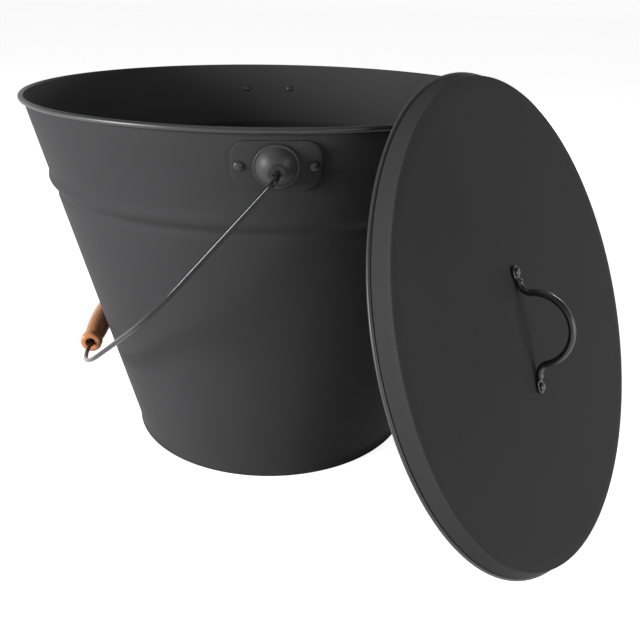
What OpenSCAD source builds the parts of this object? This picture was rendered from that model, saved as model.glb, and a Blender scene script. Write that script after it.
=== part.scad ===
// Ash bucket: a conical sheet-steel bucket with a wire bail, a turned wooden grip and a loose lid.
// The lid leans on the rim with its edge on the ground, and the bail hangs down against the wall.
// The origin is at the centre of the foot, on the ground, with the ears along Y and the front ear at -Y.

/* [Bucket] */
// Overall diameter across the rolled rim
rim_d = 365; // [320:1:400]
// Overall height to the top of the rolled rim
bucket_h = 276.6; // [250:0.2:310]
// Outer diameter of the upright foot hem
foot_d = 237; // [200:1:250]
// Height of the upright foot hem
foot_h = 8; // [5:0.5:12]
// Thickness of the steel sheet
sheet_t = 0.8; // [0.6:0.1:1.2]
// Diameter of the rolled bead round the rim
rim_bead_d = 3.6; // [3:0.2:5]
// Distance from the top of the rim down to the raised band's upper shoulder
band_drop = 51.1; // [44:0.1:80]
// Width of the raised band along the wall
band_w = 15; // [10:1:20]
// How far the raised band stands out of the wall
band_out = 2.0; // [1.2:0.2:2.6]

/* [Bottom] */
// Height of the underside of the bottom above the ground
bottom_lift = 5; // [3:0.5:8]
// Height of the bottom pan's upturned edge
bottom_edge_h = 9; // [5:0.5:14]

/* [Ears] */
// Width of an ear plate across the wall
ear_w = 52; // [49:1:60]
// Height of an ear plate along the wall
ear_h = 30; // [28:0.5:31]
// Corner radius of an ear plate
ear_corner_r = 10.5; // [4:0.5:11]
// Thickness of an ear plate
ear_t = 1.4; // [1:0.1:2]
// Distance from the top of the rim down to the middle of an ear
ear_drop = 21.8; // [20:0.2:26]
// Diameter of an ear cup at its foot, without its lip
cup_d = 24.6; // [22:0.2:25.6]
// Height of an ear cup without its collar
cup_h = 9; // [8.4:0.2:10]
// Wall thickness of an ear cup
cup_t = 1.1; // [0.8:0.1:1.4]
// Width of the rounded lip round the foot of an ear cup
cup_lip_w = 1.2; // [1:0.1:1.6]
// Diameter of the collar round the bail's hole
collar_d = 10.4; // [9:0.2:12]
// How far the collar stands out of the cup
collar_out = 0.9; // [0.6:0.1:1.4]
// How far the collar reaches into the cup
collar_in = 3.5; // [3:0.1:4]
// Width of the step on the collar's outer edge
collar_step = 0.5; // [0.3:0.1:0.8]
// Diameter of the countersunk mouth of the bail's hole
eye_mouth_d = 6.2; // [4.6:0.2:7.4]
// Depth of the countersunk mouth of the bail's hole
eye_mouth_l = 1.2; // [0.6:0.1:1.6]
// Distance between the two rivets of an ear
ear_rivet_pitch = 42.6; // [40:0.2:43]

/* [Rivets] */
// Diameter of a rivet's shank
rivet_d = 3.6; // [3:0.1:4]
// Diameter of a rivet's head
rivet_head_d = 5.8; // [5.2:0.1:6.2]
// Height of a rivet's outer head
rivet_head_h = 1.6; // [1.2:0.1:2]
// Height of a rivet's head on the inner side
rivet_tail_h = 1.3; // [1:0.1:1.8]

/* [Bail] */
// Diameter of the bail's wire
wire_d = 3.4; // [3:0.1:4]
// Distance from the pivot to the wire's run through the grip
bail_reach = 223.7; // [212:0.1:240]
// Gap between the collar of an ear and the middle of the bail's leg
leg_gap = 11.9; // [9:0.1:14]
// Lean of each leg towards the middle, in degrees
leg_lean = 8.8; // [4:0.1:11]
// Direction of the bail's shoulder, in degrees
shoulder_lean = 39.6; // [37:0.1:46]
// Radius of the bend from a leg into the shoulder
upper_bend_r = 107; // [80:1:120]
// Radius of the bend from the shoulder into the grip's run
lower_bend_r = 97; // [85:1:115]
// Radius of the bend beside an ear
ear_bend_r = 6; // [5:0.5:8]
// Diameter of the head on each end of the wire
wire_head_d = 6.4; // [5.6:0.2:7]
// Thickness of the head on each end of the wire
wire_head_t = 1.6; // [1.2:0.1:1.8]
// Play of the wire's head behind the collar
end_play = 0.7; // [0.4:0.1:0.8]
// Gap between the wall and the grip of the hanging bail
grip_gap = 1.6; // [0.4:0.1:3]

/* [Grip] */
// Length of the wooden grip
grip_l = 95; // [88:1:100]
// Diameter of the grip at its middle
grip_d = 18; // [16:0.2:18.6]
// Diameter of the grip's flared ends
grip_end_d = 16.8; // [15.6:0.2:17.6]
// Diameter of the grip's necks
grip_neck_d = 12.8; // [11.6:0.2:13.6]
// Distance from an end of the grip to its neck
neck_in = 11; // [9:0.5:13]
// Length of a flared end
grip_flare_l = 8.5; // [7:0.5:10]
// Diameter of the countersunk bore at each end of the grip
grip_mouth_d = 7.6; // [6.4:0.2:9]
// Depth of the countersunk bore at each end of the grip
grip_mouth_l = 8; // [5:0.5:12]
// Radius of the groove that makes each neck
neck_cut_r = 7; // [5:0.5:9]
// Rounding of the flared ends
flare_round_r = 2.6; // [1.5:0.1:3]

/* [Lid] */
// Overall diameter of the lid across its rolled edge
lid_d = 326; // [310:1:336]
// Diameter of the lid's flat face
lid_face_d = 315; // [296:0.2:318]
// Rounding between the lid's face and its skirt
lid_edge_r = 1.4; // [1:0.1:2]
// Overall depth of the lid
lid_h = 12; // [10.6:0.1:18]
// Diameter of the rolled bead round the lid's edge
lid_bead_d = 3.6; // [3:0.2:4.4]
// Depth of the shallow crease between the face and the skirt
lid_crease = 0.35; // [0.2:0.05:0.5]
// Lean of the lid's face above the horizontal direction it faces, in degrees
lid_lean = 22.8; // [18:0.1:28]
// Direction that the lid faces, in degrees from +X
lid_turn = -40.5; // [-46:0.1:-36]
// How far the lid sits along the ground from the point where it faces the bucket squarely
lid_shift = -20.3; // [-30:0.1:10]

/* [Lid handle] */
// Diameter of the handle's rod
rod_d = 4.4; // [4:0.1:5]
// Distance between the handle's two rivets
handle_pitch = 75.2; // [72:0.2:80]
// Height of the middle of the rod above the lid at the top of the bow
bow_h = 29.6; // [26:0.1:32]
// Radius of the bow
bow_r = 23.2; // [21:0.2:24]
// Radius of the bends at the feet of the bow
foot_bend_r = 7.4; // [6:0.2:8]
// Width of the flattened ends
pad_w = 7.4; // [7:0.1:8.4]
// Length of a flattened end beyond its rivet
pad_tip = 4.2; // [3.8:0.1:5]
// Thickness of the flattened ends
pad_t = 2; // [1.6:0.1:2.4]
// Length of each stretch where the rod narrows into its flattened end
pad_neck_l = 1.5; // [1:0.1:2]
// How far the handle sits from the middle of the lid, towards the bucket's front
handle_shift = -15; // [-24:0.5:0]
// How far the handle sits from the middle of the lid, down its face
handle_drop = 4.5; // [0:0.5:8]
// Turn of the handle on the lid, in degrees
handle_turn = -5.5; // [-10:0.1:10]

/* [Fits] */
// Gap between pieces that are fastened to each other
seat_gap = 0.3; // [0.2:0.05:0.4]
// Radial clearance of the bail's wire in its bores
pivot_fit = 0.08; // [0.05:0.01:0.1]

/* [Hidden] */
$fn = 96;

// How far a sheet lies inside the edge of the curl that it ends in, so that the two meet squarely
curl_step = 0.05;

// Rim and wall: the outer surface of the wall is a cone from the foot hem up to the bead
rim_bead_r = rim_bead_d / 2;
rim_z = bucket_h - rim_bead_r;
rim_ring_r = rim_d / 2 - rim_bead_r;
wall_top_r = rim_ring_r - rim_bead_r + sheet_t - curl_step;
foot_r = foot_d / 2;
wall_slope = (wall_top_r - foot_r) / (rim_z - foot_h);
wall_tilt = atan(wall_slope);
function wall_r(z) = foot_r + (z - foot_h) * wall_slope;

// Raised band: a round swell whose circle stands band_out proud of the wall over band_w
band_r = (band_w * band_w / 4 + band_out * band_out) / (2 * band_out);
band_z = bucket_h - band_drop;
band_mid_z = band_z - band_w / 2 * cos(wall_tilt);

// Ears: the middle of each ear lies on the wall's outer surface
ear_z = bucket_h - ear_drop;
ear_y = wall_r(ear_z);
plate_out = seat_gap + ear_t;
cup_foot = plate_out + seat_gap;
cup_r = cup_d / 2;
cup_sphere_r = (cup_r * cup_r + cup_h * cup_h) / (2 * cup_h);
cup_sphere_drop = cup_sphere_r - cup_h;
cup_lip_r = cup_t / 2;
collar_top = cup_h + collar_out;
collar_inner = cup_h - collar_in;
rivet_turn = asin(ear_rivet_pitch / 2 / ear_y);

// Pivot axis of the bail, at the middle of the collar
pivot_out = cup_foot + (collar_top + collar_inner) / 2;
pivot_z = ear_z - pivot_out * sin(wall_tilt);
collar_y = ear_y + (cup_foot + collar_top) * cos(wall_tilt);
head_y = ear_y + (cup_foot + collar_inner) * cos(wall_tilt) - end_play - collar_d / 2 * sin(wall_tilt);
wire_r = wire_d / 2;
bore_r = wire_r + pivot_fit;

// Angle of the hanging bail below the horizontal, at which its grip lies grip_gap off the wall
grip_out = wall_r(pivot_z) * cos(wall_tilt) + grip_d / 2 + grip_gap;
bail_hang = wall_tilt + acos(grip_out / bail_reach);

// Half length of a cut that passes right through sheets
cut_half = 12;

// Where a bend meets a straight bar, its end runs on by this length and is thinner by this radius
bend_lap = 0.3;
bend_thin = 0.02;

// Length of the straight run beyond each end of the grip
run_over = 1;

// Bail path, in its own plane: p runs away from the pivot axis, q runs along it
bend_q = -(collar_y + leg_gap - ear_bend_r);
leg_p = ear_bend_r + ear_bend_r * sin(leg_lean);
leg_q = bend_q - ear_bend_r * cos(leg_lean);
run_q = -(grip_l / 2 + run_over);
span_p = bail_reach - leg_p - upper_bend_r * (sin(shoulder_lean) - sin(leg_lean))
         - lower_bend_r * (1 - sin(shoulder_lean));
span_q = run_q - leg_q - upper_bend_r * (cos(leg_lean) - cos(shoulder_lean)) - lower_bend_r * cos(shoulder_lean);
path_det = cos(leg_lean) * sin(shoulder_lean) - cos(shoulder_lean) * sin(leg_lean);
leg_l = (span_p * sin(shoulder_lean) - span_q * cos(shoulder_lean)) / path_det;
shoulder_l = (span_q * cos(leg_lean) - span_p * sin(leg_lean)) / path_det;
upper_p = leg_p + leg_l * cos(leg_lean);
upper_q = leg_q + leg_l * sin(leg_lean);
upper_end_p = upper_p + upper_bend_r * (sin(shoulder_lean) - sin(leg_lean));
upper_end_q = upper_q + upper_bend_r * (cos(leg_lean) - cos(shoulder_lean));

// Grip: the belly is an arc that falls to three quarters of the way to the neck's diameter at each neck
grip_half = grip_l / 2;
neck_at = grip_half - neck_in;
belly_fall = (grip_d - grip_neck_d) / 2 * 0.75;
belly_r = (neck_at * neck_at + belly_fall * belly_fall) / (2 * belly_fall);

// Lid, in its own frame: the outer face lies at z = 0 and faces +Z, and the skirt goes down
lid_bead_r = lid_bead_d / 2;
lid_ring_r = lid_d / 2 - lid_bead_r;
lid_ring_z = -(lid_h - lid_bead_r);
lid_face_r = lid_face_d / 2;
lid_skirt_r = lid_ring_r - lid_bead_r + sheet_t - curl_step;
// The edge bead touches the ground, and the rim clears both the inside of the face and the edge bead
face_out = rim_ring_r * cos(lid_lean) + rim_z * sin(lid_lean) + rim_bead_r + seat_gap + sheet_t;
lid_low = lid_bead_r + lid_ring_r * cos(lid_lean) - lid_ring_z * sin(lid_lean);
pass_gap = rim_bead_r + lid_bead_r + 2 * seat_gap;
pass_step = 0.25;
// How far up the lid's plane its middle lies when the lid stands out by a distance
function up_at(out) = (lid_low - out * sin(lid_lean)) / cos(lid_lean);
// How far out the middle of the rim's bead lies, at an angle round the rim from where the lid faces it
function rim_out(angle) = rim_ring_r * cos(lid_lean) * cos(angle) + rim_z * sin(lid_lean);
// How far the middle of the rim's bead lies from the lid's edge bead, across the lid
function rim_off(angle, up) = norm([rim_ring_r * sin(angle) - lid_shift, rim_z * cos(lid_lean)
                                    - rim_ring_r * sin(lid_lean) * cos(angle) - up]) - lid_ring_r;
// How far the lid stands out where the rim's bead passes over its edge bead
function pass_out(angle, off) = rim_out(angle) - lid_ring_z + sqrt(pass_gap * pass_gap - off * off);
function held_out(up) = max(concat([face_out], [for (angle = [-60:pass_step:60])
    if (abs(rim_off(angle, up)) < pass_gap) pass_out(angle, rim_off(angle, up))]));
lid_out = held_out(up_at(held_out(up_at(held_out(up_at(face_out))))));
lid_up = up_at(lid_out);

// Lid handle, in the lid's frame
rod_r = rod_d / 2;
rod_lift = 0.1;
rod_z = seat_gap + rod_lift + rod_r;
bow_z = bow_h - bow_r;
foot_bend_z = rod_z + foot_bend_r;
foot_bend_x = sqrt(pow(bow_r + foot_bend_r, 2) - pow(foot_bend_z - bow_z, 2));
bow_low = atan2(foot_bend_z - bow_z, foot_bend_x);
pad_start = handle_pitch / 2 - pad_w / 2;
pad_end = handle_pitch / 2 + pad_tip - pad_w / 2;
bevel_start = foot_bend_x + 0.6;
bevel_lift = 0.2;
bevel_angle = atan2(rod_d + seat_gap - pad_t, pad_start - foot_bend_x);
pad_neck_w = rod_d - 0.4;
rod_lap = 1;

// Moves a shape drawn with its base on z = 0 and its top towards +Z onto the wall, at a turn round the axis
module on_wall(z, turn) {
    rotate([0, 0, turn]) translate([0, -wall_r(z), z]) rotate([90 + wall_tilt, 0, 0]) children();
}

// Places a shape in the lid's frame
module in_lid() {
    rotate([0, 0, lid_turn]) translate([lid_out * cos(lid_lean), lid_shift, lid_out * sin(lid_lean)])
        translate([-lid_up * sin(lid_lean), 0, lid_up * cos(lid_lean)])
            rotate([0, 90 - lid_lean, 0]) children();
}

// Places a shape on the lid's face, in the lid's frame, where the handle sits, with X along the handle
module on_lid() {
    rotate([0, 0, handle_turn]) translate([handle_drop, handle_shift, 0]) children();
}

// Places a shape in the bail's frame, with X away from the pivot axis and Y along it
module in_bail() {
    translate([0, 0, pivot_z]) rotate([0, 180 - bail_hang, 0]) children();
}

// Section of a curled sheet edge, round the middle of the curl
module curl_section(outer_r) {
    difference() {
        circle(r = outer_r, $fn = 48);
        circle(r = outer_r - sheet_t, $fn = 48);
    }
}

// Section of the raised band's swell, grown by an amount
module band_section(grow) {
    intersection() {
        translate([wall_r(band_mid_z) - (band_r - band_out) * cos(wall_tilt),
                   band_mid_z + (band_r - band_out) * sin(wall_tilt)])
            circle(r = band_r + grow, $fn = 180);
        translate([wall_r(band_mid_z) - band_w / 2, band_mid_z - band_w])
            square([band_w, band_w * 2]);
    }
}

// Section of everything inside the wall's outer surface, shrunk by an amount, from the ground up
module wall_inside(shrink) {
    tilt_shrink = shrink / cos(wall_tilt);
    polygon([[0, -1], [foot_r - shrink, -1], [foot_r - shrink, foot_h],
             [wall_top_r - tilt_shrink, rim_z], [0, rim_z]]);
}

// Round head with a flat underside at z = 0
module rivet_head(d, h) {
    ball_r = (d * d / 4 + h * h) / (2 * h);
    intersection() {
        translate([0, 0, h - ball_r]) sphere(r = ball_r, $fn = 48);
        cylinder(d = d, h = h);
    }
}

// One rivet with its axis on Z, joining sheets whose outer face is at top and whose inner face is at base
module rivet(base, top) {
    translate([0, 0, base - seat_gap]) cylinder(d = rivet_d, h = top - base + 2 * seat_gap);
    translate([0, 0, top + seat_gap]) rivet_head(rivet_head_d, rivet_head_h);
    translate([0, 0, base - seat_gap]) mirror([0, 0, 1]) rivet_head(rivet_head_d, rivet_tail_h);
}

// Hole for a rivet, with its axis on Z
module rivet_hole() {
    cylinder(r = rivet_d / 2 + seat_gap, h = 2 * cut_half, center = true);
}

// Repeats a shape at the two rivets of the front ear
module at_ear_rivets() {
    for (side = [-1, 1]) on_wall(ear_z, side * rivet_turn) children();
}

// Sheet wall with its foot hem, raised band and rolled rim
module body_shell() {
    color("dimgray") difference() {
        union() {
            rotate_extrude($fn = 180) difference() {
                union() {
                    wall_inside(0);
                    band_section(0);
                }
                union() {
                    wall_inside(sheet_t);
                    band_section(-sheet_t);
                }
                translate([0, -2]) square([foot_r + sheet_t, 2]);
            }
            rotate_extrude($fn = 180) translate([rim_ring_r, rim_z]) curl_section(rim_bead_r);
        }
        at_ear_rivets() rivet_hole();
        mirror([0, 1, 0]) at_ear_rivets() rivet_hole();
    }
}

// Pressed pan that closes the bottom, with its edge turned up inside the wall
module bottom_pan() {
    inner_r = foot_r - sheet_t - seat_gap;
    lift = min(bottom_lift, foot_h);
    slope_r = wall_slope * (lift + bottom_edge_h - foot_h);
    color("dimgray") rotate_extrude($fn = 180) difference() {
        polygon([[0, lift], [inner_r, lift], [inner_r, foot_h],
                 [inner_r + slope_r, lift + bottom_edge_h], [0, lift + bottom_edge_h]]);
        translate([-1, lift + sheet_t])
            polygon([[0, 0], [inner_r - sheet_t + 1, 0],
                     [inner_r - sheet_t + 1, foot_h - lift - sheet_t],
                     [inner_r - sheet_t + 1 + slope_r, bottom_edge_h - sheet_t],
                     [inner_r - sheet_t + 1 + slope_r, bottom_edge_h], [0, bottom_edge_h]]);
    }
}

// Outline of an ear plate
module ear_outline() {
    for (x = [-1, 1], y = [-1, 1])
        translate([x * (ear_w / 2 - ear_corner_r), y * (ear_h / 2 - ear_corner_r)])
            circle(r = ear_corner_r, $fn = 48);
    square([ear_w - 2 * ear_corner_r, ear_h], center = true);
    square([ear_w, ear_h - 2 * ear_corner_r], center = true);
}

// Plate that follows the wall and carries the cup
module ear_plate() {
    low_z = ear_z - ear_h;
    high_z = ear_z + ear_h;
    gap_r = seat_gap / cos(wall_tilt);
    out_r = plate_out / cos(wall_tilt);
    difference() {
        intersection() {
            rotate_extrude($fn = 180)
                polygon([[wall_r(low_z) + gap_r, low_z], [wall_r(low_z) + out_r, low_z],
                         [wall_r(high_z) + out_r, high_z], [wall_r(high_z) + gap_r, high_z]]);
            on_wall(ear_z, 0) linear_extrude(2 * cut_half, center = true) ear_outline();
        }
        at_ear_rivets() rivet_hole();
        on_wall(ear_z, 0) cylinder(d = collar_d, h = 2 * cut_half, center = true);
    }
}

// Half section of the cup, with its foot at y = 0
module cup_section() {
    difference() {
        union() {
            intersection() {
                translate([0, -cup_sphere_drop]) circle(r = cup_sphere_r);
                square([cup_r, cup_h]);
            }
            square([cup_r + cup_lip_w - cup_lip_r, cup_t]);
            translate([cup_r + cup_lip_w - cup_lip_r, cup_lip_r]) circle(r = cup_lip_r, $fn = 24);
        }
        intersection() {
            translate([0, -cup_sphere_drop]) circle(r = cup_sphere_r - cup_t);
            square([cup_r, cup_h]);
        }
        translate([-cup_r, -cup_r]) square([cup_r, 3 * cup_r]);
    }
}

// Hollow pressed cup with a lip at its foot and a collar round the bail's bore
module ear_cup() {
    collar_l = collar_top - collar_inner;
    low_z = ear_z - cup_d;
    high_z = ear_z + cup_d;
    foot_out = cup_foot / cos(wall_tilt);
    difference() {
        on_wall(ear_z, 0) translate([0, 0, cup_foot]) {
            rotate_extrude() cup_section();
            translate([0, 0, collar_inner]) cylinder(d = collar_d, h = collar_l - collar_step);
            translate([0, 0, collar_inner]) cylinder(d = collar_d - 2 * collar_step, h = collar_l);
        }
        translate([0, -ear_y, pivot_z]) rotate([90, 0, 0]) cylinder(r = bore_r, h = collar_y);
        translate([0, -collar_y, pivot_z]) rotate([-90, 0, 0])
            cylinder(d1 = eye_mouth_d, r2 = bore_r, h = eye_mouth_l);
        // Trims the foot to the curve of the plate below it
        rotate_extrude($fn = 180) polygon([[0, low_z], [wall_r(low_z) + foot_out, low_z],
                                           [wall_r(high_z) + foot_out, high_z], [0, high_z]]);
    }
}

// The two rivets of an ear
module ear_rivets() {
    at_ear_rivets() rivet(-sheet_t, plate_out);
}

module front_ear_plate() { color("dimgray") ear_plate(); }
module back_ear_plate() { color("dimgray") mirror([0, 1, 0]) ear_plate(); }
module front_ear_cup() { color("gray") ear_cup(); }
module back_ear_cup() { color("gray") mirror([0, 1, 0]) ear_cup(); }
module front_ear_rivets() { color("gray") ear_rivets(); }
module back_ear_rivets() { color("gray") mirror([0, 1, 0]) ear_rivets(); }

// Straight piece of round bar from (p, q) in a direction, in the plane of X and Y
module bar(p, q, angle, l, r) {
    translate([p, q, 0]) rotate([0, 0, angle]) rotate([0, 90, 0]) cylinder(r = r, h = l, $fn = 48);
}

// Bend of round bar round (p, q), in the plane of X and Y, a hair thinner so that its ends hide in the bars
module bend(p, q, bend_r, from, to, r) {
    reach = bend_lap / bend_r * 180 / PI;
    translate([p, q, 0]) rotate([0, 0, from - reach])
        rotate_extrude(angle = to - from + 2 * reach, $fn = 180)
            translate([bend_r, 0]) circle(r = r - bend_thin, $fn = 48);
}

// Front half of the bail, from its head in the cup to the grip
module half_bail() {
    bar(0, -head_y + wire_head_t / 2, -90, -bend_q - head_y + wire_head_t / 2, wire_r);
    bar(0, -head_y + wire_head_t, -90, wire_head_t, wire_head_d / 2);
    bend(ear_bend_r, bend_q, ear_bend_r, 180, 270 + leg_lean, wire_r);
    bar(leg_p, leg_q, leg_lean, leg_l, wire_r);
    bend(upper_p - upper_bend_r * sin(leg_lean), upper_q + upper_bend_r * cos(leg_lean),
         upper_bend_r, leg_lean - 90, shoulder_lean - 90, wire_r);
    bar(upper_end_p, upper_end_q, shoulder_lean, shoulder_l, wire_r);
    bend(bail_reach - lower_bend_r, run_q, lower_bend_r, shoulder_lean - 90, 0, wire_r);
}

// The whole bent wire
module bail_wire() {
    color("dimgray") in_bail() {
        half_bail();
        mirror([0, 1, 0]) half_bail();
        bar(bail_reach, run_q, 90, -2 * run_q, wire_r);
    }
}

// Half section of the turned grip, with its length along Y
module grip_section() {
    difference() {
        union() {
            intersection() {
                translate([grip_d / 2 - belly_r, 0]) circle(r = belly_r, $fn = 360);
                translate([0, -neck_at - 2]) square([grip_d, 2 * neck_at + 4]);
            }
            translate([0, -grip_half + flare_round_r])
                square([grip_neck_d / 2, grip_l - 2 * flare_round_r]);
            for (end = [-1, 1]) translate([0, end * (grip_half - grip_flare_l / 2)]) {
                square([2 * (grip_end_d / 2 - flare_round_r), grip_flare_l], center = true);
                for (side = [-1, 1])
                    translate([grip_end_d / 2 - flare_round_r, side * (grip_flare_l / 2 - flare_round_r)])
                        circle(r = flare_round_r, $fn = 48);
                translate([grip_end_d / 4, 0])
                    square([grip_end_d / 2, grip_flare_l - 2 * flare_round_r], center = true);
            }
        }
        for (end = [-1, 1]) translate([grip_neck_d / 2 + neck_cut_r, end * neck_at])
            circle(r = neck_cut_r, $fn = 96);
        translate([-grip_d, -grip_half - 1]) square([grip_d, grip_l + 2]);
    }
}

// Turned grip with its bore along the wire and a countersunk mouth at each end
module wooden_grip() {
    color("peru") in_bail() translate([bail_reach, 0, 0]) rotate([-90, 0, 0]) difference() {
        rotate_extrude() grip_section();
        translate([0, 0, -grip_half - 1]) cylinder(r = bore_r, h = grip_l + 2, $fn = 48);
        for (end = [-1, 1]) translate([0, 0, end * grip_half])
            cylinder(d = grip_mouth_d, h = 2 * grip_mouth_l, center = true, $fn = 48);
    }
}

// Lid: flat face, skirt and rolled edge bead
module lid_shell() {
    color("dimgray") in_lid() difference() {
        union() {
            rotate_extrude($fn = 180) difference() {
                union() {
                    polygon([[0, 0], [lid_face_r - lid_edge_r, 0], [lid_face_r, -lid_edge_r],
                             [lid_skirt_r, lid_ring_z], [0, lid_ring_z]]);
                    translate([lid_face_r - lid_edge_r, -lid_edge_r]) circle(r = lid_edge_r, $fn = 48);
                }
                polygon([[0, -sheet_t], [lid_face_r - lid_edge_r, -sheet_t],
                         [lid_face_r - sheet_t, -lid_edge_r], [lid_skirt_r - sheet_t, lid_ring_z],
                         [lid_skirt_r - sheet_t, lid_ring_z - 1], [0, lid_ring_z - 1]]);
                translate([lid_face_r - lid_edge_r - lid_crease, lid_crease / 2])
                    circle(r = lid_crease, $fn = 24);
            }
            rotate_extrude($fn = 180) translate([lid_ring_r, lid_ring_z]) curl_section(lid_bead_r);
        }
        at_lid_rivets() rivet_hole();
    }
}

// Repeats a shape at the two rivets of the lid handle, in the lid's frame
module at_lid_rivets() {
    for (side = [-1, 1]) on_lid() translate([side * handle_pitch / 2, 0, 0]) children();
}

// Outline of a flattened end, with its rivet hole
module pad_outline() {
    difference() {
        union() {
            for (x = [handle_pitch / 2, pad_end]) translate([x, 0]) circle(d = pad_w, $fn = 48);
            translate([handle_pitch / 2, -pad_w / 2]) square([pad_end - handle_pitch / 2, pad_w]);
            translate([pad_start - pad_neck_l, -pad_neck_w / 2]) square([pad_neck_l + pad_w / 2, pad_neck_w]);
        }
        translate([handle_pitch / 2, 0]) circle(r = rivet_d / 2 + seat_gap, $fn = 48);
    }
}

// One end of the handle: the bend at the foot of the bow, then the rod beaten down into a flat end
module handle_end() {
    rotate([90, 0, 0])
        bend(foot_bend_x, foot_bend_z, foot_bend_r, 180 + bow_low, 270, rod_r);
    difference() {
        translate([foot_bend_x, 0, rod_z]) rotate([0, 90, 0])
            cylinder(r = rod_r, h = pad_start - foot_bend_x + rod_lap, $fn = 48);
        translate([bevel_start, -rod_d, rod_z + rod_r + bevel_lift]) rotate([0, bevel_angle, 0])
            cube([cut_half, 2 * rod_d, cut_half]);
    }
    translate([0, 0, seat_gap]) linear_extrude(pad_t) pad_outline();
}

// Handle of one bent rod
module lid_handle() {
    color("dimgray") in_lid() on_lid() {
        translate([0, 0, bow_z]) rotate([90, 0, 0]) rotate([0, 0, bow_low])
            rotate_extrude(angle = 180 - 2 * bow_low, $fn = 180) translate([bow_r, 0]) circle(r = rod_r, $fn = 48);
        handle_end();
        mirror([1, 0, 0]) handle_end();
    }
}

// The two rivets of the lid handle
module lid_rivets() {
    color("gray") in_lid() at_lid_rivets() rivet(-sheet_t, seat_gap + pad_t);
}

body_shell();
bottom_pan();
front_ear_plate();
back_ear_plate();
front_ear_cup();
back_ear_cup();
front_ear_rivets();
back_ear_rivets();
bail_wire();
wooden_grip();
lid_shell();
lid_handle();
lid_rivets();
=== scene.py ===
# Ash bucket: charcoal sheet-steel bucket, wire bail with a turned grip, and a lid that leans on the rim
from math import acos, asin, atan, atan2, cos, degrees, hypot, pi, radians, sin, sqrt

import bmesh
import bpy
from mathutils import Matrix, Vector


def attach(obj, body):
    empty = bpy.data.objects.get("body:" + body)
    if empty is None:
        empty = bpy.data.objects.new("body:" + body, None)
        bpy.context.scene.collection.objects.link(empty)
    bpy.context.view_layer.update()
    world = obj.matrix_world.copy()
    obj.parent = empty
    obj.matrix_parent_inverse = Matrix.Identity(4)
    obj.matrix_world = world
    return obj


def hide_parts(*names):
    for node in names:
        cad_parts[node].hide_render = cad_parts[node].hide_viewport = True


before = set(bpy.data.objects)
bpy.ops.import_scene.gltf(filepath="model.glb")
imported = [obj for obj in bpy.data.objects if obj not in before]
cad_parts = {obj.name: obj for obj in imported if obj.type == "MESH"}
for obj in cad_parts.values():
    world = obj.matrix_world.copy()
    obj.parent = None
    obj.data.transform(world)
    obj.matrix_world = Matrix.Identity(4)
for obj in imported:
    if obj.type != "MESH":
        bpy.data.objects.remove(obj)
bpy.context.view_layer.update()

MM = 0.001

# Camera: fitted to the photograph's rim, foot, wall, ears and lid
CAMERA_AT = Vector((-9.560, -593.700, 346.629)) * MM
CAMERA_RIGHT = Vector((0.99681792, -0.0776321, 0.01809109))
CAMERA_DOWN = Vector((-0.01531574, -0.40925536, -0.91229133))
CAMERA_LENS = 41.625
SENSOR = 36

# Bucket sizes in millimetres, as in the solids
RIM_D = 365
BUCKET_H = 276.6
FOOT_D = 237
FOOT_H = 8
SHEET_T = 0.8
RIM_BEAD_R = 1.8
CURL_STEP = 0.05
BAND_DROP = 51.1
BAND_W = 15
BAND_OUT = 2.0
BOTTOM_LIFT = 5
BOTTOM_EDGE_H = 9
SEAT_GAP = 0.3

# Raised band's swell, the shallow groove below it, and the small roll at the foot's lower edge
GROOVE_AT = -9
GROOVE_W = 10.5
GROOVE_DEPTH = 1.5
SWELL_W = 13.5
FOOT_ROLL_R = 1.3
FOOT_ROLL_OUT = 0.15

# Ears and rivets
EAR_W = 52
EAR_H = 30
EAR_CORNER_R = 10.5
EAR_T = 1.4
EAR_DROP = 21.8
CUP_H = 9
COLLAR_D = 10.4
COLLAR_OUT = 0.9
COLLAR_IN = 3.5
EAR_RIVET_PITCH = 42.6
RIVET_D = 3.6
RIVET_HEAD_D = 5.8
RIVET_HEAD_H = 1.6
RIVET_TAIL_H = 1.3

# Bail and grip
WIRE_R = 1.7
BAIL_REACH = 223.7
LEG_GAP = 11.9
LEG_LEAN = radians(8.8)
SHOULDER_LEAN = radians(39.6)
UPPER_BEND_R = 107
LOWER_BEND_R = 97
EAR_BEND_R = 6
WIRE_HEAD_R = 3.2
WIRE_HEAD_T = 1.6
END_PLAY = 0.7
GRIP_GAP = 1.6
PIVOT_FIT = 0.08
GRIP_L = 95
GRIP_D = 18
GRIP_END_D = 16.8
GRIP_NECK_D = 12.8
NECK_IN = 11
GRIP_FLARE_L = 8.5
GRIP_MOUTH_D = 7.6
GRIP_MOUTH_L = 8

# Lid and its handle
LID_D = 326
LID_FACE_D = 315
LID_H = 12
LID_BEAD_R = 1.8
LID_HEM_R = 1.1
LID_HEM_IN = 0.2
LID_EDGE_R = 1.4
LID_LEAN = radians(22.8)
LID_TURN = radians(-40.5)
LID_SHIFT = -20.3
ROD_R = 2.2
HANDLE_PITCH = 75.2
BOW_H = 29.6
BOW_R = 23.2
FOOT_BEND_R = 7.4
PAD_W = 7.4
PAD_TIP = 4.2
PAD_T = 2
HANDLE_SHIFT = -15
HANDLE_DROP = 4.5
HANDLE_TURN = radians(-5.5)

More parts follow.
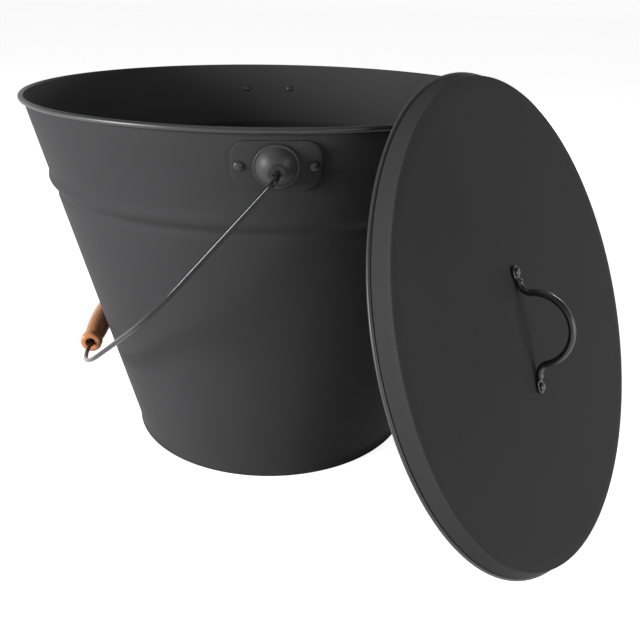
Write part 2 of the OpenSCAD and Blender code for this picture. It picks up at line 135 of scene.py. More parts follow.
# Sizes worked out from those above
RIM_Z = BUCKET_H - RIM_BEAD_R
RIM_RING_R = RIM_D / 2 - RIM_BEAD_R
WALL_TOP_R = RIM_RING_R - RIM_BEAD_R + SHEET_T - CURL_STEP
FOOT_R = FOOT_D / 2
WALL_SLOPE = (WALL_TOP_R - FOOT_R) / (RIM_Z - FOOT_H)
TILT = atan(WALL_SLOPE)
BAND_MID_Z = BUCKET_H - BAND_DROP - BAND_W / 2 * cos(TILT)
EAR_Z = BUCKET_H - EAR_DROP
PLATE_OUT = SEAT_GAP + EAR_T
CUP_FOOT = PLATE_OUT + SEAT_GAP
COLLAR_TOP = CUP_H + COLLAR_OUT
COLLAR_INNER = CUP_H - COLLAR_IN


def wall_r(z):
    """Radius of the wall's outer surface at a height."""
    return FOOT_R + (z - FOOT_H) * WALL_SLOPE


EAR_Y = wall_r(EAR_Z)
RIVET_TURN = asin(EAR_RIVET_PITCH / 2 / EAR_Y)
PIVOT_Z = EAR_Z - (CUP_FOOT + (COLLAR_TOP + COLLAR_INNER) / 2) * sin(TILT)
COLLAR_Y = EAR_Y + (CUP_FOOT + COLLAR_TOP) * cos(TILT)
HEAD_Y = EAR_Y + (CUP_FOOT + COLLAR_INNER) * cos(TILT) - END_PLAY - COLLAR_D / 2 * sin(TILT)
GRIP_OUT = wall_r(PIVOT_Z) * cos(TILT) + GRIP_D / 2 + GRIP_GAP
BAIL_HANG = TILT + acos(GRIP_OUT / BAIL_REACH)


# Places

def on_wall(z, turn):
    """Frame on the wall's outer surface with Z pointing out of it and Y up along it; turn 0 is at -Y."""
    lean = Matrix.Rotation(pi / 2 + TILT, 4, "X")
    return Matrix.Rotation(turn, 4, "Z") @ Matrix.Translation((0, -wall_r(z), z)) @ lean


def lid_frame():
    """Frame of the lid: the outer face lies at z = 0 and faces +Z."""
    ring_r = LID_D / 2 - LID_BEAD_R
    ring_z = LID_BEAD_R - LID_H
    low = LID_BEAD_R + ring_r * cos(LID_LEAN) - ring_z * sin(LID_LEAN)
    face_out = RIM_RING_R * cos(LID_LEAN) + RIM_Z * sin(LID_LEAN) + RIM_BEAD_R + SEAT_GAP + SHEET_T
    pass_gap = RIM_BEAD_R + LID_BEAD_R + 2 * SEAT_GAP
    out = face_out
    for _ in range(3):
        up = (low - out * sin(LID_LEAN)) / cos(LID_LEAN)
        out = face_out
        for step in range(-240, 241):
            a = radians(step / 4)
            off = hypot(RIM_RING_R * sin(a) - LID_SHIFT,
                        RIM_Z * cos(LID_LEAN) - RIM_RING_R * sin(LID_LEAN) * cos(a) - up) - ring_r
            if abs(off) < pass_gap:
                rim_out = RIM_RING_R * cos(LID_LEAN) * cos(a) + RIM_Z * sin(LID_LEAN)
                out = max(out, rim_out - ring_z + sqrt(pass_gap ** 2 - off ** 2))
    up = (low - out * sin(LID_LEAN)) / cos(LID_LEAN)
    at = Vector((out * cos(LID_LEAN) - up * sin(LID_LEAN), LID_SHIFT,
                 out * sin(LID_LEAN) + up * cos(LID_LEAN)))
    lean = Matrix.Rotation(pi / 2 - LID_LEAN, 4, "Y")
    return Matrix.Rotation(LID_TURN, 4, "Z") @ Matrix.Translation(at) @ lean


def handle_frame():
    """Frame of the lid's handle, with X along it and Z out of the lid's face."""
    return lid_frame() @ Matrix.Rotation(HANDLE_TURN, 4, "Z") @ Matrix.Translation((HANDLE_DROP, HANDLE_SHIFT, 0))


def bail_frame():
    """Frame of the bail: X runs away from the pivot axis, and Y along it."""
    return Matrix.Translation((0, 0, PIVOT_Z)) @ Matrix.Rotation(pi - BAIL_HANG, 4, "Y")


MIRROR_Y = Matrix.Scale(-1, 4, (0, 1, 0))


# Mesh makers; all take millimetres

def arc(cx, cy, r, start, end, steps):
    """Points of an arc in a plane, with angles in degrees."""
    return [(cx + r * cos(radians(start + (end - start) * i / steps)),
             cy + r * sin(radians(start + (end - start) * i / steps))) for i in range(steps + 1)]


def finish_mesh(name, bm, place, smooth_angle=35):
    """Turns a bmesh in millimetres into an object in metres."""
    bmesh.ops.remove_doubles(bm, verts=bm.verts, dist=1e-4)
    bmesh.ops.recalc_face_normals(bm, faces=bm.faces)
    bm.transform(Matrix.Scale(MM, 4) @ place)
    if place.determinant() < 0:
        bmesh.ops.reverse_faces(bm, faces=bm.faces)
    mesh = bpy.data.meshes.new(name)
    bm.to_mesh(mesh)
    bm.free()
    for face in mesh.polygons:
        face.use_smooth = True
    mesh.set_sharp_from_angle(angle=radians(smooth_angle))
    piece = bpy.data.objects.new(name, mesh)
    bpy.context.scene.collection.objects.link(piece)
    return piece


def lathe(bm, outline, segments, closed=True):
    """Turns an outline of (radius, height) points round Z."""
    rings = []
    for r, z in outline:
        if r < 1e-6:
            rings.append([bm.verts.new((0, 0, z))] * segments)
            continue
        rings.append([bm.verts.new((r * cos(2 * pi * k / segments), r * sin(2 * pi * k / segments), z))
                      for k in range(segments)])
    pairs = list(zip(rings, rings[1:]))
    if closed:
        pairs.append((rings[-1], rings[0]))
    for low, high in pairs:
        for k in range(segments):
            corners = [low[k], low[(k + 1) % segments], high[(k + 1) % segments], high[k]]
            corners = list(dict.fromkeys(corners))
            if len(corners) > 2:
                bm.faces.new(corners)


def sweep(bm, path, radius, sides=24, caps=True):
    """Round bar along a list of points; radius may be a number or a function of the point's number."""
    points = [Vector(p) for p in path]
    rings = []
    side_way = None
    for i, point in enumerate(points):
        ahead = (points[min(i + 1, len(points) - 1)] - points[max(i - 1, 0)]).normalized()
        if side_way is None:
            side_way = Vector((0, 0, 1)) if abs(ahead.z) < 0.9 else Vector((1, 0, 0))
        side_way = (side_way - ahead * side_way.dot(ahead)).normalized()
        up_way = ahead.cross(side_way)
        r = radius(i) if callable(radius) else radius
        rings.append([bm.verts.new(point + side_way * r * cos(2 * pi * k / sides)
                                   + up_way * r * sin(2 * pi * k / sides)) for k in range(sides)])
    join_rings(bm, rings, caps)


def join_rings(bm, rings, caps=True):
    """Joins rings of vertices with faces, and closes the ends."""
    sides = len(rings[0])
    for low, high in zip(rings, rings[1:]):
        for k in range(sides):
            bm.faces.new((low[k], low[(k + 1) % sides], high[(k + 1) % sides], high[k]))
    if caps:
        bm.faces.new(rings[0][::-1])
        bm.faces.new(rings[-1])


# Pieces of the bucket

def band_height(up):
    """How far the sheet stands out of the wall's cone at a distance up the wall from the band's middle."""
    height = 0
    if abs(up) < SWELL_W / 2:
        height += BAND_OUT * cos(pi * up / SWELL_W) ** 2
    if abs(up - GROOVE_AT) < GROOVE_W / 2:
        height -= GROOVE_DEPTH * cos(pi * (up - GROOVE_AT) / GROOVE_W) ** 2
    return height


def band_outline(grow):
    """Points of the raised band and the groove below it on one side of the sheet, from low to high."""
    low, high, steps = GROOVE_AT - GROOVE_W / 2, BAND_W / 2, 44
    points = []
    for i in range(steps + 1):
        up = low + (high - low) * i / steps
        out = band_height(up) + grow
        points.append((wall_r(BAND_MID_Z) + up * sin(TILT) + out * cos(TILT),
                       BAND_MID_Z + up * cos(TILT) - out * sin(TILT)))
    return points


def make_body():
    """Sheet wall with its foot hem, rolled lower edge, raised band and rolled rim."""
    bm = bmesh.new()
    wall_in = SHEET_T / cos(TILT)
    levels_below = (14, 40, 80, 120, 160, 195)
    levels_above = (232, 245, 260)
    roll_x = FOOT_R + FOOT_ROLL_OUT - FOOT_ROLL_R
    outer = arc(roll_x, FOOT_ROLL_R, FOOT_ROLL_R, 120, 400, 26)
    outer += [(FOOT_R - 0.4, 2.3), (FOOT_R - 0.02, 2.8), (FOOT_R, 3.2), (FOOT_R, FOOT_H - 0.9)]
    outer += [(FOOT_R + 0.05, FOOT_H - 0.2), (wall_r(FOOT_H + 0.8), FOOT_H + 0.8)]
    outer += [(wall_r(z), z) for z in levels_below] + band_outline(0)
    outer += [(wall_r(z), z) for z in (*levels_above, RIM_Z - 3.6)]
    outer += [(wall_r(RIM_Z - 2.6) - 0.45, RIM_Z - 2.6)]
    bead = arc(RIM_RING_R, RIM_Z, RIM_BEAD_R, -152, 180, 44)
    inner = [(wall_r(z) - wall_in, z) for z in (RIM_Z - 0.5, *levels_above[::-1])]
    inner += band_outline(-SHEET_T)[::-1]
    inner += [(wall_r(z) - wall_in, z) for z in (*levels_below[::-1], FOOT_H + 0.8)]
    inner += [(FOOT_R - SHEET_T + 0.02, FOOT_H - 0.4), (FOOT_R - SHEET_T, FOOT_H - 1)]
    inner += [(FOOT_R - SHEET_T, 2 * FOOT_ROLL_R)]
    lathe(bm, outer + bead + inner, 256)
    return finish_mesh("body_sheet", bm, Matrix.Identity(4), 30)


def make_pan():
    """Pressed pan that closes the bottom, with a soft corner and a shallow raised middle."""
    bm = bmesh.new()
    inner_r = FOOT_R - SHEET_T - SEAT_GAP
    lift = BOTTOM_LIFT
    top = lift + BOTTOM_EDGE_H
    slope = WALL_SLOPE * (top - FOOT_H)
    outline = [(0, lift), (inner_r - 2.5, lift)]
    outline += arc(inner_r - 2.0, lift + 2.0, 2.0, -90, 0, 8)
    outline += [(inner_r + slope, top), (inner_r + slope - SHEET_T, top)]
    outline += arc(inner_r - 2.0, lift + 2.0, 2.0 - SHEET_T, 0, -90, 8)
    outline += [(inner_r - 2.5, lift + SHEET_T), (0, lift + SHEET_T)]
    lathe(bm, outline, 192, closed=False)
    return finish_mesh("bottom_sheet", bm, Matrix.Identity(4))


def make_ear_plate(name, side):
    """Plate with rounded corners and softened edges that follows the wall."""
    bm = bmesh.new()
    half_w, half_h, edge = EAR_W / 2, EAR_H / 2, 0.35
    steps = 14

    def outline(inset):
        r = EAR_CORNER_R - inset
        points = []
        for cx, cy, start in ((1, 1, 0), (-1, 1, 90), (-1, -1, 180), (1, -1, 270)):
            points += arc(cx * (half_w - EAR_CORNER_R), cy * (half_h - EAR_CORNER_R), r, start, start + 90, steps)
        return points

    def wrap(x, y, out):
        turn = asin(x / EAR_Y)
        return (on_wall(EAR_Z, turn) @ Vector((0, y, out))) - Vector((0, 0, 0))

    levels = [(0, SEAT_GAP), (0, PLATE_OUT - edge)]
    levels += [(edge * (1 - cos(a)), PLATE_OUT - edge * (1 - sin(a))) for a in (pi / 6, pi / 3, pi / 2)]
    rings = [[bm.verts.new(wrap(x, y, out)) for x, y in outline(inset)] for inset, out in levels]
    join_rings(bm, rings, caps=False)
    for ring, out in ((rings[0], SEAT_GAP), (rings[-1], PLATE_OUT)):
        grid_cap(bm, ring, outline(edge if out == PLATE_OUT else 0), out, wrap)
    return finish_mesh(name, bm, side)


def grid_cap(bm, ring, points, out, wrap):
    """Closes a curved plate's face with rings that shrink to a line, so that it keeps the wall's curve."""
    last = ring
    for share in (0.9, 0.75, 0.6, 0.45, 0.3, 0.15, 0.03):
        new = [bm.verts.new(wrap(x * share, y * share, out)) for x, y in points]
        join_rings(bm, [last, new], caps=False)
        last = new
    bm.faces.new(last)


def make_rivets(name, places, base, top, side=Matrix.Identity(4)):
    """Domed rivets with a small flat rim round each head, joining sheets between base and top."""
    bm = bmesh.new()
    for place in places:
        one = bmesh.new()
        r = RIVET_HEAD_D / 2
        head = [(r * cos(radians(a)), top + SEAT_GAP + 0.25 + (RIVET_HEAD_H - 0.25) * sin(radians(a)))
                for a in range(0, 90, 10)]
        tail = [(r * cos(radians(a)), base - SEAT_GAP - 0.25 - (RIVET_TAIL_H - 0.25) * sin(radians(a)))
                for a in range(80, -1, -10)]
        outline = [(0, top + SEAT_GAP + RIVET_HEAD_H)] + head[::-1] + [(r, top + SEAT_GAP + 0.05)]
        outline += [(RIVET_D / 2, top + SEAT_GAP), (RIVET_D / 2, base - SEAT_GAP), (r, base - SEAT_GAP - 0.05)]
        outline += tail[::-1] + [(0, base - SEAT_GAP - RIVET_TAIL_H)]
        lathe(one, outline, 32, closed=False)
        one.transform(place)
        scrap = bpy.data.meshes.new("scrap")
        one.to_mesh(scrap)
        one.free()
        bm.from_mesh(scrap)
        bpy.data.meshes.remove(scrap)
    return finish_mesh(name, bm, side, 50)


# Pieces of the bail

def bail_path():
    """Half of the wire's centre line in its own plane, from the head in the cup to the middle of the grip."""
    bend_q = -(COLLAR_Y + LEG_GAP - EAR_BEND_R)
    leg_p = EAR_BEND_R + EAR_BEND_R * sin(LEG_LEAN)
    leg_q = bend_q - EAR_BEND_R * cos(LEG_LEAN)
    run_q = -(GRIP_L / 2 + 1)
    lean, shoulder = LEG_LEAN, SHOULDER_LEAN
    span_p = (BAIL_REACH - leg_p - UPPER_BEND_R * (sin(shoulder) - sin(lean))
              - LOWER_BEND_R * (1 - sin(shoulder)))
    span_q = (run_q - leg_q - UPPER_BEND_R * (cos(lean) - cos(shoulder)) - LOWER_BEND_R * cos(shoulder))
    det = cos(lean) * sin(shoulder) - cos(shoulder) * sin(lean)
    leg_l = (span_p * sin(shoulder) - span_q * cos(shoulder)) / det
    upper_p = leg_p + leg_l * cos(lean)
    upper_q = leg_q + leg_l * sin(lean)
    lean_d, shoulder_d = degrees(lean), degrees(shoulder)
    path = [(0, -HEAD_Y + WIRE_HEAD_T / 2), (0, (bend_q - HEAD_Y) / 2)]
    path += arc(EAR_BEND_R, bend_q, EAR_BEND_R, 180, 270 + lean_d, 16)
    path += arc(upper_p - UPPER_BEND_R * sin(lean), upper_q + UPPER_BEND_R * cos(lean), UPPER_BEND_R,
                lean_d - 90, shoulder_d - 90, 28)
    path += arc(BAIL_REACH - LOWER_BEND_R, run_q, LOWER_BEND_R, shoulder_d - 90, 0, 34)
    path += [(BAIL_REACH, run_q / 2), (BAIL_REACH, 0)]
    return path


def make_bail():
    """The whole bent wire with its upset heads."""
    bm = bmesh.new()
    half = bail_path()
    path = [(p, q, 0) for p, q in half] + [(p, -q, 0) for p, q in reversed(half[:-1])]
    sweep(bm, path, WIRE_R, 28)
    for side in (-1, 1):
        inner, outer = HEAD_Y - WIRE_HEAD_T, HEAD_Y
        r = WIRE_HEAD_R
        levels = [(inner, r - 0.5), (inner + 0.15, r - 0.15), (inner + 0.5, r), (outer - 0.3, r), (outer, r - 0.3)]
        rings = [[bm.verts.new((q * cos(2 * pi * k / 28), side * y, q * sin(2 * pi * k / 28))) for k in range(28)]
                 for y, q in levels]
        join_rings(bm, rings)
    return finish_mesh("bail_rod", bm, bail_frame(), 50)


def make_grip():
    """Turned grip: flared round ends, necks and a belly, with a countersunk bore."""
    bm = bmesh.new()
    half = GRIP_L / 2
    neck = half - NECK_IN
    flare_start = half - GRIP_FLARE_L
    fall = (GRIP_D - GRIP_NECK_D) / 2
    outline = []
    belly_steps = 28
    for i in range(belly_steps + 1):
        y = -neck + 2 * neck * i / belly_steps
        share = abs(y) / neck
        outline.append((GRIP_D / 2 - fall * (0.72 * share ** 2.2 + 0.28 * max(0, share - 0.86) / 0.14), y))
    end_r, round_r = GRIP_END_D / 2, 2.6
    rise = [(GRIP_NECK_D / 2 + 0.1, neck + 0.9), (GRIP_NECK_D / 2 + 0.6, flare_start + 0.3)]
    rise += arc(end_r - round_r, flare_start + round_r + 0.1, round_r, -62, 0, 7)
    rise += arc(end_r - round_r, half - round_r, round_r, 0, 78, 9)
    rise += [(end_r - round_r - 0.4, half), (GRIP_MOUTH_D / 2 + 0.4, half), (GRIP_MOUTH_D / 2, half - 0.5)]
    rise += [(GRIP_MOUTH_D / 2, half - GRIP_MOUTH_L), (WIRE_R + PIVOT_FIT, half - GRIP_MOUTH_L)]
    outline = [(r, -y) for r, y in reversed(rise)] + outline + rise
    lathe(bm, outline, 96)
    place = bail_frame() @ Matrix.Translation((BAIL_REACH, 0, 0)) @ Matrix.Rotation(-pi / 2, 4, "X")
    return finish_mesh("turned_grip", bm, place, 50)


# Pieces of the lid

def make_lid():
    """Lid with a flat face, a soft edge, a skirt and a rolled bead."""
    bm = bmesh.new()
    ring_r = LID_D / 2 - LID_HEM_R - LID_HEM_IN
    ring_z = -(LID_H - LID_HEM_R - LID_HEM_IN)
    face_r = LID_FACE_D / 2
    skirt_r = ring_r - LID_HEM_R + SHEET_T
    outline = [(0, 0), (60, 0), (120, 0), (face_r - 8, 0), (face_r - LID_EDGE_R - 1.1, 0)]
    outline += [(face_r - LID_EDGE_R - 0.75, -0.14), (face_r - LID_EDGE_R - 0.45, -0.14)]
    outline += arc(face_r - LID_EDGE_R, -LID_EDGE_R, LID_EDGE_R, 84, 6, 9)
    skirt_top, skirt_low = Vector((face_r, -LID_EDGE_R)), Vector((skirt_r - 0.15, ring_z + 1.7))
    outline += [tuple(skirt_top.lerp(skirt_low, share)) for share in (0.06, 0.35, 0.65, 1)]
    outline += [(skirt_r - 0.35, ring_z + 1.1)]
    outline += arc(ring_r, ring_z, LID_HEM_R, 142, -180, 36)
    outline += [(skirt_r - SHEET_T - 0.1, ring_z + 1.5), (face_r + 1.2 - SHEET_T, -3.6)]
    outline += arc(face_r - LID_EDGE_R, -LID_EDGE_R, LID_EDGE_R - SHEET_T, 6, 84, 6)
    outline += [(face_r - 8, -SHEET_T), (120, -SHEET_T), (60, -SHEET_T), (0, -SHEET_T)]
    lathe(bm, outline, 256, closed=False)
    return finish_mesh("lid_sheet", bm, lid_frame(), 30)


def make_lid_handle():
    """Bent rod with a half-round bow, whose ends are beaten down into flat pads."""
    bm = bmesh.new()
    rod_z = SEAT_GAP + 0.1 + ROD_R
    bow_z = BOW_H - BOW_R
    bend_z = rod_z + FOOT_BEND_R
    bend_x = sqrt((BOW_R + FOOT_BEND_R) ** 2 - (bend_z - bow_z) ** 2)
    low = degrees(atan2(bend_z - bow_z, bend_x))
    half = [(x, z, ROD_R, ROD_R) for x, z in arc(0, bow_z, BOW_R, 90, low, 30)]
    half += [(x, z, ROD_R, ROD_R) for x, z in arc(bend_x, bend_z, FOOT_BEND_R, 180 + low, 270, 14)[1:]]
    # Each later section is (x, middle height, half width, half thickness)
    pad_z = SEAT_GAP + PAD_T / 2
    rivet_x = HANDLE_PITCH / 2
    tip_x = rivet_x + PAD_TIP
    flat_from, flat_to = bend_x + 0.8, rivet_x - PAD_W / 2 + 0.6
    for i in range(1, 9):
        share = i / 8
        ease = share * share * (3 - 2 * share)
        half.append((flat_from + (flat_to - flat_from) * share, rod_z + (pad_z - rod_z) * ease,
                     ROD_R + (PAD_W / 2 - 0.35 - ROD_R) * ease, ROD_R + (PAD_T / 2 - ROD_R) * ease))
    half += [(rivet_x - 2, pad_z, PAD_W / 2, PAD_T / 2), (rivet_x, pad_z, PAD_W / 2, PAD_T / 2)]
    tip_r = PAD_W / 2
    for x, w in arc(tip_x - tip_r, 0, tip_r, 90, 8, 9):
        half.append((x, pad_z, w, PAD_T / 2 * (0.8 + 0.2 * min(1, w / tip_r * 2))))
    sides = 28
    rings = []
    stations = [(-x, z, w, t, -1) for x, z, w, t in reversed(half[1:])] + [(x, z, w, t, 1) for x, z, w, t in half]
    centre = [Vector((s[0], 0, s[1])) for s in stations]
    for i, (x, z, w, t, way) in enumerate(stations):
        ahead = (centre[min(i + 1, len(centre) - 1)] - centre[max(i - 1, 0)]).normalized()
        if t < ROD_R - 0.01:
            ahead = Vector((1, 0, 0))
        up = ahead.cross(Vector((0, 1, 0)))
        flat = max(0, min(1, (ROD_R - t) / (ROD_R - PAD_T / 2)))
        power = 1 - 0.62 * flat
        ring = []
        for k in range(sides):
            a = 2 * pi * k / sides
            ca, sa = cos(a), sin(a)
            off_w = w * (abs(ca) ** power) * (1 if ca >= 0 else -1)
            off_t = t * (abs(sa) ** power) * (1 if sa >= 0 else -1)
            ring.append(bm.verts.new(centre[i] + Vector((0, 1, 0)) * off_w + up * off_t))
        rings.append(ring)
    join_rings(bm, rings)
    return finish_mesh("lid_handle_rod", bm, handle_frame(), 50)


# Materials

def base_material(name, colour, roughness, metallic=0.0, specular=0.5):
    """A principled material and its node tree."""
    material = bpy.data.materials.new(name)
    material.use_nodes = True
    shader = material.node_tree.nodes["Principled BSDF"]
    shader.inputs["Base Color"].default_value = (*colour, 1)
    shader.inputs["Roughness"].default_value = roughness
    shader.inputs["Metallic"].default_value = metallic
    shader.inputs["Specular IOR Level"].default_value = specular
    return material, material.node_tree, shader


def coords(tree, scale=(1, 1, 1), turn=(0, 0, 0)):
    """Object coordinates through a mapping."""
    where = tree.nodes.new("ShaderNodeTexCoord")
    mapping = tree.nodes.new("ShaderNodeMapping")
    mapping.inputs["Scale"].default_value = scale
    mapping.inputs["Rotation"].default_value = turn
    tree.links.new(where.outputs["Object"], mapping.inputs["Vector"])
    return mapping.outputs["Vector"]


def noise(tree, vector, scale, detail=3, rough=0.55):
    """A noise texture's value."""
    node = tree.nodes.new("ShaderNodeTexNoise")
    node.inputs["Scale"].default_value = scale
    node.inputs["Detail"].default_value = detail
    node.inputs["Roughness"].default_value = rough
    tree.links.new(vector, node.inputs["Vector"])
    return node.outputs["Fac"]


def remap(tree, value, low, high, from_low=0.3, from_high=0.7):
    """Maps a value from one range to another."""
    node = tree.nodes.new("ShaderNodeMapRange")
    node.inputs["From Min"].default_value = from_low
    node.inputs["From Max"].default_value = from_high
    node.inputs["To Min"].default_value = low
    node.inputs["To Max"].default_value = high
    tree.links.new(value, node.inputs["Value"])
    return node.outputs["Result"]


def ramp(tree, value, stops):
    """A colour ramp over a value; stops are (place, colour)."""
    node = tree.nodes.new("ShaderNodeValToRGB")
    elements = node.color_ramp.elements
    while len(elements) < len(stops):
        elements.new(0.5)
    for element, (place, colour) in zip(elements, stops):
        element.position = place
        element.color = (*colour, 1)
    tree.links.new(value, node.inputs["Fac"])
    return node.outputs["Color"]


def mix(tree, share, first, second):
    """Mixes two colours by a share."""
    node = tree.nodes.new("ShaderNodeMix")
    node.data_type = "RGBA"
    colour_a = [s for s in node.inputs if s.name == "A" and s.type == "RGBA"][0]
    colour_b = [s for s in node.inputs if s.name == "B" and s.type == "RGBA"][0]
    factor = [s for s in node.inputs if s.name == "Factor" and s.type == "VALUE"][0]
    for socket, item in ((factor, share), (colour_a, first), (colour_b, second)):
        if isinstance(item, tuple):
            socket.default_value = (*item, 1)
        elif isinstance(item, (int, float)):
            socket.default_value = item
        else:
            tree.links.new(item, socket)
    return [s for s in node.outputs if s.type == "RGBA"][0]


def bump(tree, shader, height, strength, distance):
    """Bump from a height."""
    node = tree.nodes.new("ShaderNodeBump")
    node.inputs["Strength"].default_value = strength
    node.inputs["Distance"].default_value = distance
    tree.links.new(height, node.inputs["Height"])
    tree.links.new(node.outputs["Normal"], shader.inputs["Normal"])


def powder_coat(name, colour, roughness=0.5, grain=1.0, specular=0.5):
    """Satin powder coat: faint mottling, fine orange peel and slightly uneven sheen."""
    material, tree, shader = base_material(name, colour, roughness, 0.0, specular)
    vector = coords(tree)
    broad = noise(tree, vector, 9, 4)
    fine = noise(tree, vector, 1400, 2)
    peel = noise(tree, vector, 520, 3)
    darker = tuple(c * 0.9 for c in colour)
    lighter = tuple(min(1, c * 1.1) for c in colour)
    tone = ramp(tree, broad, [(0.3, darker), (0.7, lighter)])
    speck = remap(tree, fine, 0, 0.16 * grain, 0.56, 0.72)
    tone = mix(tree, speck, tone, tuple(min(1, c * 2.1) for c in colour))
    tree.links.new(tone, shader.inputs["Base Color"])
    tree.links.new(remap(tree, broad, roughness - 0.05, roughness + 0.05), shader.inputs["Roughness"])
    bump(tree, shader, peel, 0.35 * grain, 0.00006)
    return material


def drawn_wire(name, colour, roughness, metallic):
    """Drawn steel wire with fine lines along it and slight dulling."""
    material, tree, shader = base_material(name, colour, roughness, metallic, 0.22)
    vector = coords(tree)
    lines = noise(tree, vector, 260, 3)
    dull = noise(tree, vector, 45, 4)
    tone = ramp(tree, dull, [(0.3, tuple(c * 0.8 for c in colour)), (0.7, tuple(min(1, c * 1.15) for c in colour))])
    tree.links.new(tone, shader.inputs["Base Color"])
    tree.links.new(remap(tree, dull, roughness - 0.06, roughness + 0.08), shader.inputs["Roughness"])
    bump(tree, shader, lines, 0.12, 0.00005)
    return material


def turned_wood(name):
    """Warm varnished wood with grain along Y, darker streaks, pores and faint turning lines."""
    light, mid, dark = (0.7, 0.31, 0.135), (0.52, 0.205, 0.078), (0.27, 0.095, 0.034)
    material, tree, shader = base_material(name, mid, 0.34, 0.0, 0.35)
    shader.inputs["Coat Weight"].default_value = 0.15
    shader.inputs["Coat Roughness"].default_value = 0.18
    along = coords(tree, (1, 0.07, 1))
    streak = noise(tree, along, 330, 5, 0.6)
    figure = noise(tree, coords(tree, (1, 0.16, 1)), 95, 3, 0.5)
    tone = ramp(tree, streak, [(0.28, dark), (0.45, mid), (0.62, light), (0.8, light)])
    broad = ramp(tree, figure, [(0.35, dark), (0.55, mid), (0.75, light)])
    tone = mix(tree, 0.42, tone, broad)
    pores = noise(tree, coords(tree, (1, 0.04, 1)), 1500, 2)
    pore_share = remap(tree, pores, 0, 0.55, 0.6, 0.72)
    tone = mix(tree, pore_share, tone, (0.09, 0.028, 0.009))
    tree.links.new(tone, shader.inputs["Base Color"])
    tree.links.new(remap(tree, streak, 0.42, 0.28), shader.inputs["Roughness"])
    rings = noise(tree, coords(tree, (0.02, 1, 0.02)), 900, 2)
    height = mix(tree, 0.5, rings, pores)
    bump(tree, shader, height, 0.18, 0.00008)
    return material


def floor_material():
    """White floor that stays white to the camera but keeps the object's shadow."""
    material, tree, shader = base_material("studio_floor", (FLOOR_TONE,) * 3, 0.9, 0.0, 0.0)
    out = tree.nodes["Material Output"]
    lift = tree.nodes.new("ShaderNodeEmission")
    lift.inputs["Strength"].default_value = FLOOR_LIFT
    both = tree.nodes.new("ShaderNodeAddShader")
    choose = tree.nodes.new("ShaderNodeMixShader")
    tree.links.new(camera_or_mirror(tree), choose.inputs["Fac"])
    tree.links.new(shader.outputs["BSDF"], both.inputs[0])
    tree.links.new(lift.outputs["Emission"], both.inputs[1])
    tree.links.new(shader.outputs["BSDF"], choose.inputs[1])
    tree.links.new(both.outputs["Shader"], choose.inputs[2])
    tree.links.new(choose.outputs["Shader"], out.inputs["Surface"])
    return material


def camera_or_mirror(tree):
    """1 for rays from the camera, or by way of gloss or glass."""
    path = tree.nodes.new("ShaderNodeLightPath")
    value = path.outputs["Is Camera Ray"]
    for other in ("Is Glossy Ray", "Is Transmission Ray"):
        node = tree.nodes.new("ShaderNodeMath")
        node.operation = "MAXIMUM"
        tree.links.new(value, node.inputs[0])
        tree.links.new(path.outputs[other], node.inputs[1])
        value = node.outputs["Value"]
    return value


# Studio

FLOOR_TONE = 0.7
FLOOR_LIFT = 0.9
WORLD_LEVEL = 0.08
FLOOR_R = 12
BACKDROP_H = 4.5


def make_world():
    """Plain soft grey light from all round."""
    world = bpy.data.worlds.new("studio")
    bpy.context.scene.world = world
    world.use_nodes = True
    light = world.node_tree.nodes["Background"]
    light.inputs["Color"].default_value = (1, 1, 1, 1)
    light.inputs["Strength"].default_value = WORLD_LEVEL


def make_floor():
    """Large round floor whose far edge rises as a backdrop."""
    bm = bmesh.new()
    drop = 0.0002
    outline = [(0, -drop), (1, -drop), (FLOOR_R, -drop), (FLOOR_R + 0.3, 0.1), (FLOOR_R + 0.4, BACKDROP_H)]
    lathe(bm, outline, 96, closed=False)
    mesh = bpy.data.meshes.new("floor")
    bm.to_mesh(mesh)
    bm.free()
    floor = bpy.data.objects.new("floor", mesh)
    bpy.context.scene.collection.objects.link(floor)
    mesh.materials.append(floor_material())


def make_lamp(name, at, aim, size, power, size_y=None):
    """Area lamp that looks at a point."""
    data = bpy.data.lights.new(name, "AREA")
    data.shape = "RECTANGLE"
    data.size = size
    data.size_y = size_y or size
    data.energy = power
    lamp = bpy.data.objects.new(name, data)
    bpy.context.scene.collection.objects.link(lamp)
    lamp.location = at
    lamp.rotation_euler = (Vector(aim) - Vector(at)).to_track_quat("-Z", "Y").to_euler()


def make_camera():
    """Camera at the photograph's place."""
    data = bpy.data.cameras.new("camera")
    data.sensor_width = SENSOR
    data.lens = CAMERA_LENS
    data.clip_start = 0.01
    camera = bpy.data.objects.new("camera", data)
    bpy.context.scene.collection.objects.link(camera)
    right = CAMERA_RIGHT.normalized()
    up = (-CAMERA_DOWN - right * (-CAMERA_DOWN).dot(right)).normalized()
    turn = Matrix((right, up, right.cross(up))).transposed().to_4x4()
    camera.matrix_world = Matrix.Translation(CAMERA_AT) @ turn
    bpy.context.scene.camera = camera


make_world()
make_floor()
make_lamp("key", (-1.76, -0.84, 0.56), (0, 0, 0.16), 0.7, 60, 0.7)
make_lamp("right", (1.5, -1.3, 0.5), (0.2, -0.2, 0.15), 0.9, 16)
make_lamp("back", (1.3, 1.7, 0.24), (0, 0, 0.15), 0.42, 16)
make_lamp("top", (-0.1, -0.1, 1.4), (0.05, -0.05, 0.2), 0.8, 2)
make_camera()
bpy.context.scene.view_settings.view_transform = "Standard"

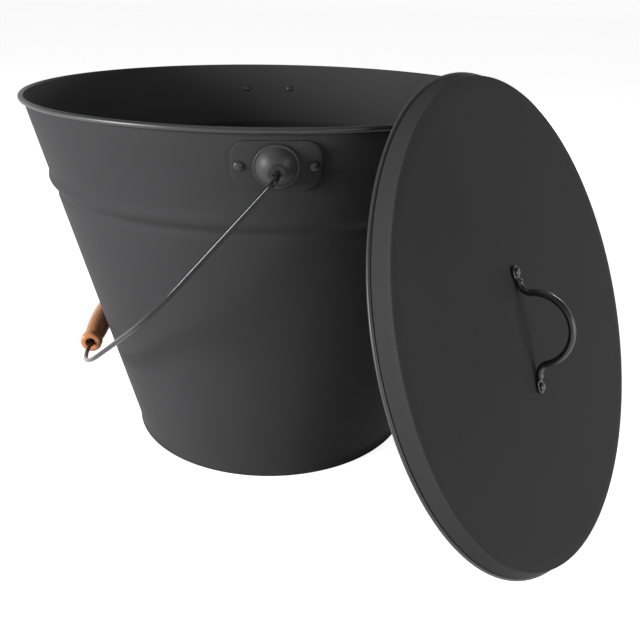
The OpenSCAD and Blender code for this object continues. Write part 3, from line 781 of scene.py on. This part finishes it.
CHARCOAL = (0.045, 0.045, 0.0465)
edge_coat = powder_coat("edge_coat", tuple(c * 0.8 for c in CHARCOAL), 0.38, 0.5, 0.4)
coat = powder_coat("charcoal_coat", CHARCOAL, 0.62, 1.0, 0.03)
pan_coat = powder_coat("pan_coat", tuple(c * 0.9 for c in CHARCOAL), 0.58, 1.0, 0.12)
ear_coat = powder_coat("ear_coat", tuple(c * 0.8 for c in CHARCOAL), 0.54, 1.0, 0.12)
cup_coat = powder_coat("cup_coat", tuple(c * 0.95 for c in CHARCOAL), 0.46, 0.7, 0.22)
# Rivet heads: the charcoal coat made darker, which is painted shade; their glossier finish is their own
rivet_coat_painted_shade = powder_coat("rivet_coat_painted_shade", tuple(c * 0.7 for c in CHARCOAL), 0.36, 0.7, 0.3)
handle_coat = powder_coat("handle_coat", tuple(c * 0.6 for c in CHARCOAL), 0.3, 0.7, 0.55)
wire_steel = drawn_wire("bail_steel", (0.011, 0.011, 0.012), 0.16, 0.0)
wood = turned_wood("grip_wood")


def dress(piece, body, slot, material, *nodes):
    """Gives a piece its material and its body, and hides the nodes that it stands for; the slot is not used."""
    piece.data.materials.append(material)
    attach(piece, body)
    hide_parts(*nodes)


def rub_edges(piece, material, is_edge):
    """Gives the faces of a worn edge a smoother finish; is_edge takes a face's middle in metres."""
    piece.data.materials.append(material)
    for face in piece.data.polygons:
        if is_edge(face.center):
            face.material_index = 1


def dress_node(node, material):
    """Gives a node of the frame its material."""
    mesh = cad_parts[node].data
    mesh.materials.clear()
    mesh.materials.append(material)


body = make_body()
dress(body, "bucket", "charcoal_sheet", coat, "body_shell")
rub_edges(body, edge_coat, lambda at: at.z > (RIM_Z - 1.3) * MM and at.xy.length > (RIM_RING_R - 1.7) * MM)
dress(make_pan(), "bucket", "pan_sheet", pan_coat, "bottom_pan")
ear_places = [on_wall(EAR_Z, side * RIVET_TURN) for side in (-1, 1)]
for end, side in (("front", Matrix.Identity(4)), ("back", MIRROR_Y)):
    dress(make_ear_plate(f"{end}_ear_sheet", side), "bucket", "ear_sheet", ear_coat, f"{end}_ear_plate")
    dress(make_rivets(f"{end}_ear_rivet_pair", ear_places, -SHEET_T, PLATE_OUT, side),
          "bucket", "rivet_steel", rivet_coat_painted_shade, f"{end}_ear_rivets")
    dress_node(f"{end}_ear_cup", cup_coat)
dress(make_bail(), "bail", "bail_steel", wire_steel, "bail_wire")
dress(make_grip(), "grip", "grip_wood", wood, "wooden_grip")
lid = make_lid()
dress(lid, "lid", "charcoal_sheet", coat, "lid_shell")
lid_back = (lid_frame().inverted())
rub_edges(lid, edge_coat, lambda at: (lid_back @ (at / MM)).xy.length > LID_D / 2 - 2 * LID_HEM_R + 0.4)
dress(make_lid_handle(), "lid", "handle_steel", handle_coat, "lid_handle")
lid_places = [handle_frame() @ Matrix.Translation((side * HANDLE_PITCH / 2, 0, 0)) for side in (-1, 1)]
dress(make_rivets("lid_rivet_pair", lid_places, -SHEET_T, SEAT_GAP + PAD_T),
      "lid", "rivet_steel", handle_coat, "lid_rivets")
